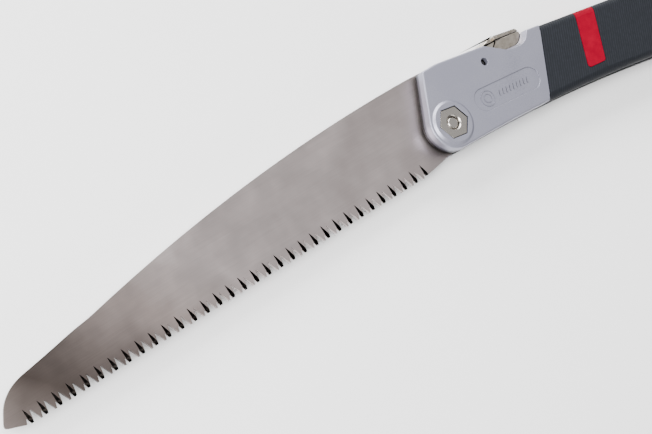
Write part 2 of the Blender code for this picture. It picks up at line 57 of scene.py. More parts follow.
def srgb(code):
    """Linear colour of an sRGB hex value."""
    parts = [int(code[i:i + 2], 16) / 255 for i in (0, 2, 4)]
    return tuple(c / 12.92 if c <= 0.04045 else ((c + 0.055) / 1.055) ** 2.4 for c in parts) + (1,)


def add(tree, kind, sockets=None, **settings):
    """Add a node with its settings, and set or link its sockets."""
    made = tree.nodes.new(kind)
    for name, value in settings.items():
        setattr(made, name, value)
    for name, value in (sockets or {}).items():
        if isinstance(value, bpy.types.NodeSocket):
            tree.links.new(value, made.inputs[name])
        else:
            made.inputs[name].default_value = value
    return made


def finish(name, sockets):
    """A new material of one Principled shader with these sockets."""
    surface = bpy.data.materials.new(name)
    surface.use_nodes = True
    tree = surface.node_tree
    shader = tree.nodes["Principled BSDF"]
    for socket, value in sockets.items():
        shader.inputs[socket].default_value = value
    place = add(tree, "ShaderNodeTexCoord").outputs["Object"]
    return surface, tree, shader, place


def ramp(tree, factor, stops):
    """Colours along a factor, from pairs of place and sRGB value."""
    made = add(tree, "ShaderNodeValToRGB", {"Fac": factor})
    made.color_ramp.elements[0].position = stops[0][0]
    made.color_ramp.elements[0].color = srgb(stops[0][1])
    made.color_ramp.elements[1].position = stops[-1][0]
    made.color_ramp.elements[1].color = srgb(stops[-1][1])
    for position, code in stops[1:-1]:
        made.color_ramp.elements.new(position).color = srgb(code)
    return made.outputs["Color"]


def painted_corner_shade(tree, colour, reach, shader):
    """Darken a finish where a face lies within reach (mm) of a corner: painted shade in corners and crevices."""
    open_sky = add(tree, "ShaderNodeAmbientOcclusion", {"Distance": reach * MM}, samples=8)
    corner_shade = ramp(tree, open_sky.outputs["AO"], [(0.4, "0A0A0A"), (0.62, "6A6A6A"), (0.85, "FFFFFF")])
    corner_shaded = add(tree, "ShaderNodeMix", {0: 1.0, 6: colour, 7: corner_shade}, data_type="RGBA", blend_type="MULTIPLY")
    tree.links.new(corner_shaded.outputs[2], shader.inputs["Base Color"])


# Painted board, matt: pale with a trace of unevenness.
bench_paint, tree, shader, place = finish("matt_white_board", {"Roughness": 0.85})
cloud = add(tree, "ShaderNodeTexNoise", {"Vector": place, "Scale": 3.0, "Detail": 2.0})
tree.links.new(ramp(tree, cloud.outputs["Fac"], [(0.3, "F2F2F2"), (0.7, "F5F5F5")]), shader.inputs["Base Color"])
bench = bpy.data.objects.new("bench", bpy.data.meshes.new("bench"))
bpy.context.scene.collection.objects.link(bench)
bench.data.from_pydata([(-6, -6, 0), (6, -6, 0), (6, 6, 0), (-6, 6, 0)], [], [(0, 1, 2, 3)])
bench.data.materials.append(bench_paint)

studio = bpy.data.worlds.new("studio")
studio.use_nodes = True
studio.node_tree.nodes["Background"].inputs["Color"].default_value = (1.0, 1.0, 1.0, 1)
studio.node_tree.nodes["Background"].inputs["Strength"].default_value = 0.27
bpy.context.scene.world = studio

LAMPS = (("head_lamp", (560, 60, 1000), (0, 0, 0), (760, 1200), 1.2),
         ("left_lamp", (-800, 160, 1150), (-60, 0, 0), (700, 1300), 52.0),
         ("near_lamp", (-100, -1500, 620), (0, 0, 0), (1500, 500), 6.0),
         ("far_lamp", (100, 1350, 800), (0, 0, 0), (1600, 900), 62.0))
for name, spot, aim, size, power in LAMPS:
    lamp = bpy.data.lights.new(name, "AREA")
    lamp.shape = "RECTANGLE"
    lamp.size, lamp.size_y = size[0] * MM, size[1] * MM
    lamp.energy = power
    holder = bpy.data.objects.new(name, lamp)
    holder.location = at(*spot)
    holder.rotation_euler = (at(*aim) - at(*spot)).to_track_quat("-Z", "Y").to_euler()
    bpy.context.scene.collection.objects.link(holder)

eye = bpy.data.cameras.new("eye")
eye.lens = 81.65
eye.sensor_width = 36.0
eye.clip_start = 0.02
viewer = bpy.data.objects.new("eye", eye)
viewer.location = at(-370.6, -11.0, 543.8)
viewer.rotation_euler = [math.radians(a) for a in (16.522, -23.706, -35.402)]
bpy.context.scene.collection.objects.link(viewer)
bpy.context.scene.camera = viewer

# ---------------------------------------------------------------- blade
# One strip of high-carbon steel, ground flat with a fine satin face, swinging on the pivot.
# Its teeth come in pairs, each pair with one tooth ground from the near side and one from the far.

BLADE_HALF = 0.65
PAIRS = 32
PAIR_PITCH = 6.38
HEEL = -21.9
ROOT = -7.0
RISE = 0.003
FLANK_DEPTHS = (0.05, 0.16, 0.4, 0.9)


def mesh_piece(name, faces, marked=()):
    """A piece from faces given as corner places in millimetres from the pivot; marked ones are ground."""
    corners, index, loops = [], {}, []
    for face in list(faces) + list(marked):
        loop = []
        for corner in face:
            key = tuple(round(c, 4) for c in corner)
            if key not in index:
                index[key] = len(corners)
                corners.append(at(*corner))
            loop.append(index[key])
        loops.append(loop)
    mesh = bpy.data.meshes.new(name)
    mesh.from_pydata(corners, [], loops)
    ground = mesh.attributes.new("ground", "BOOLEAN", "FACE")
    ground.data.foreach_set("value", [i >= len(faces) for i in range(len(loops))])
    piece = bpy.data.objects.new(name, mesh)
    bpy.context.scene.collection.objects.link(piece)
    return piece


def walls(outline, low, high):
    """Upright faces along an open outline."""
    return [[(*a, low), (*b, low), (*b, high), (*a, high)] for a, b in zip(outline, outline[1:])]


def ground_flank(apex, crest, foot, side):
    """The hollow that the wheel grinds along one flank: its bright-dark facet and its steep inner wall."""
    face = BLADE_HALF * side
    deep = [face - side * d for d in FLANK_DEPTHS]
    line = [(*place, depth) for place, depth in zip(foot, deep)]
    top = (*apex, face)
    rim = [(*c, face) for c in crest]
    facet = [[top, line[0], rim[0]], [line[3], rim[4], rim[3]]]
    facet += [[line[i], line[i + 1], rim[i + 1], rim[i]] for i in range(3)]
    return facet + [[top, (*foot[2], face), line[2], line[1], line[0]]]


# Points of one pair, from the shallow gullet towards the tip: a lance tooth, the deep gullet, a ground tooth.
near_apex = (-6.1, -7.7)
near_crest = [(-5.65, -8.5), (-5.05, -10.0), (-4.42, -12.0), (-4.38, -13.3), (-4.6, -13.95)]
near_foot = [(-6.16, -8.6), (-6.14, -9.9), (-6.1, -11.94), (-5.35, -13.95)]
far_apex = (-0.28, -7.7)
far_crest = [(-0.7, -8.5), (-1.2, -10.0), (-1.7, -12.0), (-1.5, -13.3), (-1.2, -14.1)]
far_foot = [(-0.22, -8.6), (-0.24, -9.9), (-0.25, -11.94), (-0.8, -14.1)]
start, end = (0.0, -11.6), (-PAIR_PITCH, -11.6)
near_front = [(0, ROOT), (-PAIR_PITCH, ROOT), end, (-6.23, -11.6), near_foot[2], near_apex] + near_crest
near_front += [(-3.7, -9.3), (-3.3, -9.3), far_crest[4], far_foot[3], far_foot[2], (-0.15, -11.6), start]
far_front = [(0, ROOT), (-PAIR_PITCH, ROOT), end, (-6.23, -11.6), near_foot[2], near_foot[3], near_crest[4]]
far_front += [(-3.7, -9.3), (-3.3, -9.3)] + far_crest[::-1] + [far_apex, far_foot[2], (-0.15, -11.6), start]
full = BLADE_HALF
faces = [[(*p, full) for p in near_front], [(*p, -full) for p in far_front[::-1]]]
faces += walls([end, (-6.23, -11.6)], -full, full)
faces += walls([near_crest[4], (-3.7, -9.3), (-3.3, -9.3), far_crest[4]], -full, full)
faces += walls([(-0.15, -11.6), start], -full, full)


def flank_walls(crest, foot, side, beside):
    """What the wheel leaves of the flank and the tip beyond its hollow, and the wall beside them."""
    upper, lower = (BLADE_HALF * side - side * d for d in FLANK_DEPTHS[2:])
    face = BLADE_HALF * side
    return [[(*foot[2], -face), (*foot[3], -face), (*foot[3], lower), (*foot[2], upper)],
            [(*foot[3], -face), (*crest[4], -face), (*crest[4], face), (*foot[3], lower)],
            [(*beside, -face), (*foot[2], -face), (*foot[2], upper), (*foot[2], face), (*beside, face)]]


faces += flank_walls(near_crest, near_foot, 1, (-6.23, -11.6)) + flank_walls(far_crest, far_foot, -1, (-0.15, -11.6))
marked = ground_flank(near_apex, near_crest, near_foot, 1) + ground_flank(far_apex, far_crest, far_foot, -1)
faces = [[(x + HEEL, y, z) for x, y, z in face] for face in faces]
marked = [[(x + HEEL, y, z) for x, y, z in face] for face in marked]
tooth_pair = mesh_piece("tooth_pair", faces, marked)
tooth_pair.data.transform(Matrix.Translation(-at(0, 0)))


def arc(centre, radius, first, last, steps):
    """Points along a round stretch between two angles in degrees."""
    angles = [math.radians(first + (last - first) * i / steps) for i in range(steps + 1)]
    return [(centre[0] + radius * math.cos(a), centre[1] + radius * math.sin(a)) for a in angles]


def smooth_run(points, steps=4):
    """More points on a smooth line through these ones."""
    padded = [points[0]] + points + [points[-1]]
    run = []
    for a, b, c, d in zip(padded, padded[1:], padded[2:], padded[3:]):
        for k in range(steps):
            t = k / steps
            run.append(tuple(0.5 * (2 * q + (r - p) * t + (2 * p - 5 * q + 4 * r - s) * t * t
                                    + (3 * q - p - 3 * r + s) * t ** 3) for p, q, r, s in zip(a, b, c, d)))
    return run + [points[-1]]


# The blade's outline above the teeth, from the last gullet round the tip, the back, the tang and the heel.
LOCK_PIN = Vector((31.8, 16.0))
notch_place = Vector((math.cos(math.radians(70)), math.sin(math.radians(70)))) * 20.0
lever_arm = (notch_place - LOCK_PIN).normalized()
lift = Vector((lever_arm.y, -lever_arm.x))
across = Vector((lift.y, -lift.x))
wall = notch_place - across * 1.5
floor = notch_place - lift * 2.4
ear = notch_place + across * 1.5
tang = [wall + lift * 7.6 - across * 0.8, wall + lift * 6.8, floor - across * 1.5, floor + across * 1.5,
        ear + lift * 0.1, ear + across * 2.0 - lift * 0.6, ear + across * 1.8 - lift * 2.8]
tip_run = smooth_run([(-233.6, -10.6), (-234.7, -9.4), (-233.2, -6.3), (-230.8, -2.6), (-228.0, 0.0),
                      (-224.5, 2.1), (-220.0, 3.6), (-214.0, 4.6), (-204.0, 6.3), (-194.0, 8.1), (-186.0, 9.2)])
turns = [math.degrees(math.acos((x + 12.7) / 842.2)) for x in (-183.0, -3.0)]
back = arc((-12.7, -815.1), 842.2, turns[0], turns[1], 40)
heel_run = [(-6.0, -11.3), (-10.0, -12.0), (-15.0, -12.8), (-19.0, -13.3)]
heel_crest = [(-21.2, -8.5), (-20.6, -10.0), (-19.95, -12.0), (-19.85, -13.2), (-19.8, -13.5)]
heel_foot = [(-21.66, -8.6), (-21.64, -9.9), (-21.62, -11.94), (-20.8, -13.55)]
heel_apex = (-21.6, -7.7)
root_line = [(HEEL - PAIR_PITCH * k, ROOT + RISE * PAIR_PITCH * k) for k in range(PAIRS + 1)]
last = root_line[-1]
rim = [tuple(p) for p in tang] + arc((0, 0), 11.4, 38, -100, 28)
above = [(last[0], -11.6 + RISE * PAIR_PITCH * PAIRS), (last[0] - 0.15, -11.6 + RISE * PAIR_PITCH * PAIRS),
         (-227.0, -12.9)] + tip_run + back + rim + heel_run
bore = arc((0, 0), 5.3, 0, 360, 48)[:-1]


def filled(outlines, level):
    """Flat faces inside closed outlines, the second and later ones being holes, at one level."""
    flat = bmesh.new()
    for outline in outlines:
        ring = [flat.verts.new((x, y, level)) for x, y in outline]
        for a, b in zip(ring, ring[1:] + ring[:1]):
            flat.edges.new((a, b))
    bmesh.ops.triangle_fill(flat, use_beauty=True, use_dissolve=False, edges=flat.edges)
    found = [[tuple(v.co) for v in face.verts] for face in flat.faces]
    flat.free()
    return found


near_side = above + heel_crest[::-1] + [heel_apex, heel_foot[2], (HEEL + 0.15, -11.6), (HEEL, -11.6)] + root_line
far_side = above + [heel_crest[4], heel_foot[3], heel_foot[2], (HEEL + 0.15, -11.6), (HEEL, -11.6)] + root_line
faces = filled([near_side, bore], full) + filled([far_side, bore], -full)
faces += walls(above + [heel_crest[4]], -full, full) + walls(bore + bore[:1], -full, full)
faces += walls([(HEEL + 0.15, -11.6), (HEEL, -11.6)], -full, full)
faces += flank_walls(heel_crest, heel_foot, 1, (HEEL + 0.15, -11.6))
marked = ground_flank(heel_apex, heel_crest, heel_foot, 1)
blade = mesh_piece("saw_blade", faces, marked)

# Ground high-carbon steel under a thin hard-chrome flash: a warm grey satin face whose grinding
# lines, really some 0.05 mm apart, are drawn 0.4 mm apart so that they show at all. Painted shade
# darkens it towards the tip, standing for a dim reflection there.
blade_steel, tree, shader, place = finish("satin_ground_carbon_steel", {"Metallic": 1.0, "Roughness": 0.36})
along = add(tree, "ShaderNodeMapping", {"Vector": place, "Scale": (60.0, 2500.0, 60.0)})
streaks = add(tree, "ShaderNodeTexNoise", {"Vector": along.outputs["Vector"], "Scale": 1.0, "Detail": 3.0})
patches = add(tree, "ShaderNodeTexNoise", {"Vector": place, "Scale": 45.0, "Detail": 3.0, "Roughness": 0.6})
mixed = add(tree, "ShaderNodeMath", {0: streaks.outputs["Fac"], 1: patches.outputs["Fac"]}, operation="MULTIPLY")
tone = ramp(tree, mixed.outputs["Value"], [(0.12, "B4AAA7"), (0.26, "B9AFAC"), (0.42, "BEB4B1")])
axes = add(tree, "ShaderNodeSeparateXYZ", {"Vector": place}).outputs
# Painted shade: over the last 130 mm the colour darkens, most some 30 mm short of the tip.
lean = add(tree, "ShaderNodeMath", {0: axes["Y"], 1: -0.9}, operation="MULTIPLY").outputs["Value"]
along_tip = add(tree, "ShaderNodeMath", {0: axes["X"], 1: lean}, operation="SUBTRACT").outputs["Value"]
tip_shade_span = add(tree, "ShaderNodeMapRange", {"Value": along_tip, "From Min": at(-250, 0).x, "From Max": at(-120, 0).x})
tip_shade = ramp(tree, tip_shade_span.outputs["Result"], [(0.1, "A39F9D"), (0.2, "94908D"), (0.34, "686360"), (0.5, "85817F"),
                                              (0.75, "D9D4D2"), (1.0, "FDFCFE")])
grain_and_tip_shade = add(tree, "ShaderNodeMix", {0: 1.0, 6: tone, 7: tip_shade}, data_type="RGBA", blend_type="MULTIPLY")
tree.links.new(grain_and_tip_shade.outputs[2], shader.inputs["Base Color"])
rough = add(tree, "ShaderNodeMapRange", {"Value": patches.outputs["Fac"], "From Min": 0.3, "From Max": 0.7,
                                         "To Min": 0.32, "To Max": 0.42})
tree.links.new(rough.outputs["Result"], shader.inputs["Roughness"])
grain = add(tree, "ShaderNodeBump", {"Height": streaks.outputs["Fac"], "Strength": 0.12, "Distance": 0.00004})
tree.links.new(grain.outputs["Normal"], shader.inputs["Normal"])

# Tooth flanks: ground to a mirror and induction-hardened. Their near-black colour is partly the
# hardening's own dark tint and partly a painted reflection of the dark surroundings these mirrors show.
ground_steel, tree, shader, place = finish("hardened_ground_flank", {"Metallic": 1.0, "Roughness": 0.16})
bands = add(tree, "ShaderNodeTexNoise", {"Vector": place, "Scale": 900.0, "Detail": 2.0})
tree.links.new(ramp(tree, bands.outputs["Fac"], [(0.3, "060505"), (0.7, "12100E")]), shader.inputs["Base Color"])

tooth_tree = bpy.data.node_groups.new("tooth_row", "GeometryNodeTree")
for label, kind in (("Geometry", "NodeSocketGeometry"), ("Pair", "NodeSocketObject"), ("Pairs", "NodeSocketInt"),
                    ("First", "NodeSocketVector"), ("Pitch", "NodeSocketVector"),
                    ("Steel", "NodeSocketMaterial"), ("Ground steel", "NodeSocketMaterial")):
    tooth_tree.interface.new_socket(label, in_out="INPUT", socket_type=kind)
tooth_tree.interface.new_socket("Geometry", in_out="OUTPUT", socket_type="NodeSocketGeometry")
given = add(tooth_tree, "NodeGroupInput").outputs
pair = add(tooth_tree, "GeometryNodeObjectInfo", {"Object": given["Pair"]}, transform_space="ORIGINAL")
row = add(tooth_tree, "GeometryNodeMeshLine", {"Count": given["Pairs"], "Start Location": given["First"],
                                               "Offset": given["Pitch"]}, mode="OFFSET")
set_row = add(tooth_tree, "GeometryNodeInstanceOnPoints", {"Points": row.outputs["Mesh"],
                                                           "Instance": pair.outputs["Geometry"]})
real_row = add(tooth_tree, "GeometryNodeRealizeInstances", {"Geometry": set_row.outputs["Instances"]})
whole = add(tooth_tree, "GeometryNodeJoinGeometry")
tooth_tree.links.new(given["Geometry"], whole.inputs["Geometry"])
tooth_tree.links.new(real_row.outputs["Geometry"], whole.inputs["Geometry"])
welded = add(tooth_tree, "GeometryNodeMergeByDistance", {"Geometry": whole.outputs["Geometry"], "Distance": 0.00002})
solid = add(tooth_tree, "GeometryNodeRealizeInstances", {"Geometry": welded.outputs["Geometry"]})
satin = add(tooth_tree, "GeometryNodeSetMaterial", {"Geometry": solid.outputs["Geometry"], "Material": given["Steel"]})
mark = add(tooth_tree, "GeometryNodeInputNamedAttribute", {"Name": "ground"}, data_type="BOOLEAN")
dark = add(tooth_tree, "GeometryNodeSetMaterial", {"Geometry": satin.outputs["Geometry"],
                                                   "Selection": mark.outputs["Attribute"],
                                                   "Material": given["Ground steel"]})
add(tooth_tree, "NodeGroupOutput", {"Geometry": dark.outputs["Geometry"]})


def grow(piece, tree, values):
    """Run a node tree on a piece with these inputs, and keep the result as its plain mesh."""
    modifier = piece.modifiers.new(tree.name, "NODES")
    modifier.node_group = tree
    for item in tree.interface.items_tree:
        if item.in_out == "INPUT" and item.name in values:
            modifier[item.identifier] = values[item.name]
    settle(piece)


def settle(piece):
    """Turn a piece's modifiers into its plain mesh."""
    bpy.context.view_layer.update()
    graph = bpy.context.evaluated_depsgraph_get()
    piece.data = bpy.data.meshes.new_from_object(piece.evaluated_get(graph), depsgraph=graph)
    piece.modifiers.clear()


grow(blade, tooth_tree, {"Pair": tooth_pair, "Pairs": PAIRS, "First": tuple(at(0, 0)),
                         "Pitch": (-PAIR_PITCH * MM, RISE * PAIR_PITCH * MM, 0.0),
                         "Steel": blade_steel, "Ground steel": ground_steel})
bpy.data.objects.remove(tooth_pair)
shape = bmesh.new()
shape.from_mesh(blade.data)
bmesh.ops.recalc_face_normals(shape, faces=shape.faces)
shape.to_mesh(blade.data)
shape.free()
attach(blade, "blade")
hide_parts("blade")

# ---------------------------------------------------------------- pivot
# A shouldered bolt with a hexagon nut let into the near half clamps the head; the blade turns on a
# bronze bush between two thin steel washers. Bolt and nut are turned, bright nickel over steel.


def dressed(node, name, edge=0.0, corner=30.0, reshape=None):
    """A cleaned copy of a CAD node, merged and with its small edges broken and its curves smooth."""
    source = frame["nodes"][node]
    body = bmesh.new()
    body.from_mesh(source.data)
    bmesh.ops.remove_doubles(body, verts=body.verts, dist=0.000004)
    for corner_point in body.verts if reshape else ():
        corner_point.co = reshape(corner_point.co)
    bmesh.ops.dissolve_degenerate(body, dist=0.000004, edges=body.edges)
    bmesh.ops.dissolve_limit(body, angle_limit=math.radians(0.6), verts=body.verts, edges=body.edges)
    mesh = bpy.data.meshes.new(name)
    body.to_mesh(mesh)
    body.free()
    piece = bpy.data.objects.new(name, mesh)
    bpy.context.scene.collection.objects.link(piece)
    if edge:
        broken = piece.modifiers.new("broken edge", "BEVEL")
        broken.width = edge * MM
        broken.segments = 2
        broken.limit_method = "ANGLE"
        broken.angle_limit = math.radians(corner)
        broken.use_clamp_overlap = False
        settle(piece)
    mesh = piece.data
    mesh.polygons.foreach_set("use_smooth", [True] * len(mesh.polygons))
    mesh.set_sharp_from_angle(angle=math.radians(corner))
    weighted = piece.modifiers.new("flat faces", "WEIGHTED_NORMAL")
    weighted.keep_sharp = True
    weighted.weight = 100
    settle(piece)
    piece.data.materials.clear()
    return piece


def fit(piece, material, body, slot, *nodes):
    """Give a piece its finish and its body, and hide the CAD nodes that it stands for."""
    piece.data.materials.clear()
    piece.data.materials.append(material)
    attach(piece, body)
    if nodes:
        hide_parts(*nodes)


# Turned steel under bright nickel: fine rings 0.3 mm apart round the pivot, slightly warm.
turned_steel, tree, shader, place = finish("turned_nickel_plated_steel", {"Metallic": 1.0, "Roughness": 0.27})
centred = add(tree, "ShaderNodeMapping", {"Vector": place, "Location": -at(0, 0)}, vector_type="POINT")
rings = add(tree, "ShaderNodeTexWave", {"Vector": centred.outputs["Vector"], "Scale": 1000.0, "Distortion": 1.2,
                                        "Detail": 2.0, "Detail Scale": 0.4}, wave_type="RINGS", rings_direction="Z")
tree.links.new(ramp(tree, rings.outputs["Fac"], [(0.0, "A6A19B"), (0.6, "BDB8B2"), (1.0, "D2CDC6")]),
               shader.inputs["Base Color"])
lathe = add(tree, "ShaderNodeBump", {"Height": rings.outputs["Fac"], "Strength": 0.25, "Distance": 0.00003})
tree.links.new(lathe.outputs["Normal"], shader.inputs["Normal"])

fit(dressed("pivot_nut", "hexagon_nut", 0.18), turned_steel, "handle", "pivot_steel", "pivot_nut")
fit(dressed("pivot_bolt", "shouldered_bolt", 0.15), turned_steel, "handle", "pivot_steel", "pivot_bolt")

# Sintered bronze bearing: matt brown-gold, pitted by pores some 0.2 mm across.
bronze, tree, shader, place = finish("sintered_bronze", {"Metallic": 1.0, "Roughness": 0.42})
pores = add(tree, "ShaderNodeTexNoise", {"Vector": place, "Scale": 3000.0, "Detail": 2.0})
tree.links.new(ramp(tree, pores.outputs["Fac"], [(0.35, "7D5A2C"), (0.6, "A98248")]), shader.inputs["Base Color"])
fit(dressed("pivot_bush", "bronze_bush", 0.08), bronze, "handle", "bearing_bronze", "pivot_bush")

# Hard-rolled shim steel: grey, smooth, with rolling lines.
shim, tree, shader, place = finish("rolled_shim_steel", {"Metallic": 1.0, "Roughness": 0.3})
rolled = add(tree, "ShaderNodeMapping", {"Vector": place, "Scale": (3000.0, 100.0, 100.0)})
lines = add(tree, "ShaderNodeTexNoise", {"Vector": rolled.outputs["Vector"], "Scale": 1.0})
tree.links.new(ramp(tree, lines.outputs["Fac"], [(0.3, "8E8D8A"), (0.7, "A5A4A0")]), shader.inputs["Base Color"])
fit(dressed("near_washer", "near_shim", 0.0), shim, "handle", "washer_steel", "near_washer")
fit(dressed("far_washer", "far_shim", 0.0), shim, "handle", "washer_steel", "far_washer")

# ---------------------------------------------------------------- head and frame halves
# Two die-cast aluminium halves, bead-blasted and lacquered silver, bolted and riveted together. The
# bare head carries a raised boss round the nut, a thumb scoop over the lever and a shallow label.

# Lacquered cast aluminium: even, cool pale grey with a soft sparkle of grains about 0.4 mm across.
cast_alloy, tree, shader, place = finish("bead_blasted_cast_aluminium", {"Metallic": 0.72, "Roughness": 0.42})
speckle = add(tree, "ShaderNodeTexNoise", {"Vector": place, "Scale": 2400.0, "Detail": 2.0})
cloudy = add(tree, "ShaderNodeTexNoise", {"Vector": place, "Scale": 40.0, "Detail": 2.0})
blend = add(tree, "ShaderNodeMath", {0: speckle.outputs["Fac"], 1: cloudy.outputs["Fac"]}, operation="ADD")
bare = ramp(tree, blend.outputs["Value"], [(0.7, "8A8A98"), (1.0, "9393A1"), (1.3, "9C9CA9")])
# Painted shade: near the blade's plane, over the slot's mouth and inner walls, the alloy is painted near-black up to
# 3.2 mm out, fading to its own grey by 5.6 mm.
height = add(tree, "ShaderNodeSeparateXYZ", {"Vector": place}).outputs["Z"]
off_plane = add(tree, "ShaderNodeMath", {0: height, 1: at(0, 0, 0).z}, operation="SUBTRACT").outputs["Value"]
distance = add(tree, "ShaderNodeMath", {0: off_plane}, operation="ABSOLUTE").outputs["Value"]
mouth = add(tree, "ShaderNodeMapRange", {"Value": distance, "From Min": 0.0, "From Max": 8 * MM})
slot_wall_shade = ramp(tree, mouth.outputs["Result"], [(0.0, "1C1B1B"), (0.4, "242323"), (0.46, "8A8A8E"), (0.6, "A9A9AC"),
                                              (0.7, "FFFFFF")])
cast = add(tree, "ShaderNodeMix", {0: 1.0, 6: bare, 7: slot_wall_shade}, data_type="RGBA", blend_type="MULTIPLY")
# Painted shade: the alloy darkens within 1.2 mm of corners, creases and gaps.
painted_corner_shade(tree, cast.outputs[2], 1.2, shader)
blasted = add(tree, "ShaderNodeBump", {"Height": speckle.outputs["Fac"], "Strength": 0.25, "Distance": 0.00004})
tree.links.new(blasted.outputs["Normal"], shader.inputs["Normal"])

fit(dressed("near_frame_half", "near_cast_half", 0.12, 35.0), cast_alloy, "handle", "cast_aluminium", "near_frame_half")
fit(dressed("far_frame_half", "far_cast_half", 0.12, 35.0), cast_alloy, "handle", "cast_aluminium", "far_frame_half")

# The label's raised ornament: two rings like a log's end, and a row of short slanted ribs, cast in one.
LABEL = (34.7, 0.2)
LABEL_TURN = math.radians(-4.8)
LABEL_FLOOR = 8.7


def on_label(u, v, height):
    """A place on the label, along it and across it, above its floor."""
    c, s = math.cos(LABEL_TURN), math.sin(LABEL_TURN)
    return at(LABEL[0] + u * c - v * s, LABEL[1] + u * s + v * c, LABEL_FLOOR + height)


ornament = bmesh.new()
for outer, inner in ((3.9, 3.35), (2.2, 1.75)):
    rows = []
    for r, h in ((outer, -0.05), (outer - 0.12, 0.2), (inner + 0.12, 0.2), (inner, -0.05)):
        rows.append([ornament.verts.new(on_label(-11.8 + r * math.cos(math.tau * i / 48),
                                                 r * math.sin(math.tau * i / 48), h)) for i in range(48)])
    for one, two in zip(rows, rows[1:] + rows[:1]):
        for i in range(48):
            ornament.faces.new((one[i], one[(i + 1) % 48], two[(i + 1) % 48], two[i]))
bmesh.ops.recalc_face_normals(ornament, faces=ornament.faces)
rings_mesh = bpy.data.meshes.new("label_relief")
ornament.to_mesh(rings_mesh)
ornament.free()
relief = bpy.data.objects.new("label_relief", rings_mesh)
bpy.context.scene.collection.objects.link(relief)

rib_tree = bpy.data.node_groups.new("rib_row", "GeometryNodeTree")
for label, kind in (("Geometry", "NodeSocketGeometry"), ("Ribs", "NodeSocketInt"), ("First", "NodeSocketVector"),
                    ("Pitch", "NodeSocketVector"), ("Size", "NodeSocketVector"), ("Lean", "NodeSocketVector"),
                    ("Finish", "NodeSocketMaterial")):
    rib_tree.interface.new_socket(label, in_out="INPUT", socket_type=kind)
rib_tree.interface.new_socket("Geometry", in_out="OUTPUT", socket_type="NodeSocketGeometry")
given = add(rib_tree, "NodeGroupInput").outputs
row = add(rib_tree, "GeometryNodeMeshLine", {"Count": given["Ribs"], "Start Location": given["First"],
                                             "Offset": given["Pitch"]}, mode="OFFSET")
rib = add(rib_tree, "GeometryNodeMeshCube", {"Size": given["Size"], "Vertices X": 3, "Vertices Y": 3})
set_ribs = add(rib_tree, "GeometryNodeInstanceOnPoints", {"Points": row.outputs["Mesh"],
                                                          "Instance": rib.outputs["Mesh"], "Rotation": given["Lean"]})
joined = add(rib_tree, "GeometryNodeJoinGeometry")
rib_tree.links.new(given["Geometry"], joined.inputs["Geometry"])
rib_tree.links.new(set_ribs.outputs["Instances"], joined.inputs["Geometry"])
real = add(rib_tree, "GeometryNodeRealizeInstances", {"Geometry": joined.outputs["Geometry"]})
coated = add(rib_tree, "GeometryNodeSetMaterial", {"Geometry": real.outputs["Geometry"], "Material": given["Finish"]})
add(rib_tree, "NodeGroupOutput", {"Geometry": coated.outputs["Geometry"]})
grow(relief, rib_tree, {"Ribs": 9, "First": tuple(on_label(-4.5, 0.0, 0.05)),
                        "Pitch": tuple(on_label(2.1, 0, 0) - on_label(0, 0, 0)),
                        "Size": (0.00055, 0.0026, 0.0003), "Lean": (0, 0, math.radians(-24)), "Finish": cast_alloy})
fit(relief, cast_alloy, "handle", "cast_aluminium")

# ---------------------------------------------------------------- spine, spacer, rivets and eyelet
# A steel spine keeps the halves apart above the folded blade, a moulded spacer closes the tail. Four
# rivets and a tubular eyelet at the tail hold the sandwich together.

# Black-oxidised mild steel strip: dark, slightly brown, with faint mill streaks.
spine_steel, tree, shader, place = finish("black_oxide_steel", {"Metallic": 0.9, "Roughness": 0.45})
milled = add(tree, "ShaderNodeMapping", {"Vector": place, "Scale": (90.0, 1500.0, 1500.0)})
mill = add(tree, "ShaderNodeTexNoise", {"Vector": milled.outputs["Vector"], "Scale": 1.0, "Detail": 2.0})
tree.links.new(ramp(tree, mill.outputs["Fac"], [(0.3, "3B3835"), (0.7, "575350")]), shader.inputs["Base Color"])
fit(dressed("handle_spine", "steel_spine", 0.15), spine_steel, "handle", "spacer_steel", "handle_spine")

# Glass-filled nylon: matt black with a fine moulded grain of 0.3 mm.
nylon, tree, shader, place = finish("glass_filled_nylon", {"Roughness": 0.6})
fibre = add(tree, "ShaderNodeTexNoise", {"Vector": place, "Scale": 3000.0, "Detail": 2.0})
tree.links.new(ramp(tree, fibre.outputs["Fac"], [(0.3, "161618"), (0.7, "26262A")]), shader.inputs["Base Color"])
skin = add(tree, "ShaderNodeBump", {"Height": fibre.outputs["Fac"], "Strength": 0.3, "Distance": 0.00004})
tree.links.new(skin.outputs["Normal"], shader.inputs["Normal"])
fit(dressed("tail_spacer", "tail_block", 0.15), nylon, "handle", "spacer_plastic", "tail_spacer")

# Drawn steel, nickel-plated: bright grey with soft uneven patches.
drawn_steel, tree, shader, place = finish("nickel_plated_steel", {"Metallic": 1.0, "Roughness": 0.26})
wear = add(tree, "ShaderNodeTexNoise", {"Vector": place, "Scale": 500.0, "Detail": 3.0})
tree.links.new(ramp(tree, wear.outputs["Fac"], [(0.3, "9C9891"), (0.7, "BDB8B0")]), shader.inputs["Base Color"])
for i in range(4):
    rivet = dressed(f"frame_rivet_{i + 1}", f"cheek_rivet_{i + 1}", 0.12)
    fit(rivet, drawn_steel, "handle", "spacer_steel", f"frame_rivet_{i + 1}")
fit(dressed("tail_eyelet", "tube_rivet", 0.1), drawn_steel, "handle", "spacer_steel", "tail_eyelet")

# ---------------------------------------------------------------- lock lever, pin and spring
# A chunky nickel-plated casting that rocks on a cross pin: its nose drops into the blade's notch and
# its serrated pad stands in the thumb scoop, pushed up by a coil spring.

# Cast zinc under satin nickel: warm beige-grey, a little mottled by handling.
nickel, tree, shader, place = finish("satin_nickel_plated_casting", {"Metallic": 1.0, "Roughness": 0.33})
mottle = add(tree, "ShaderNodeTexNoise", {"Vector": place, "Scale": 420.0, "Detail": 4.0, "Roughness": 0.6})
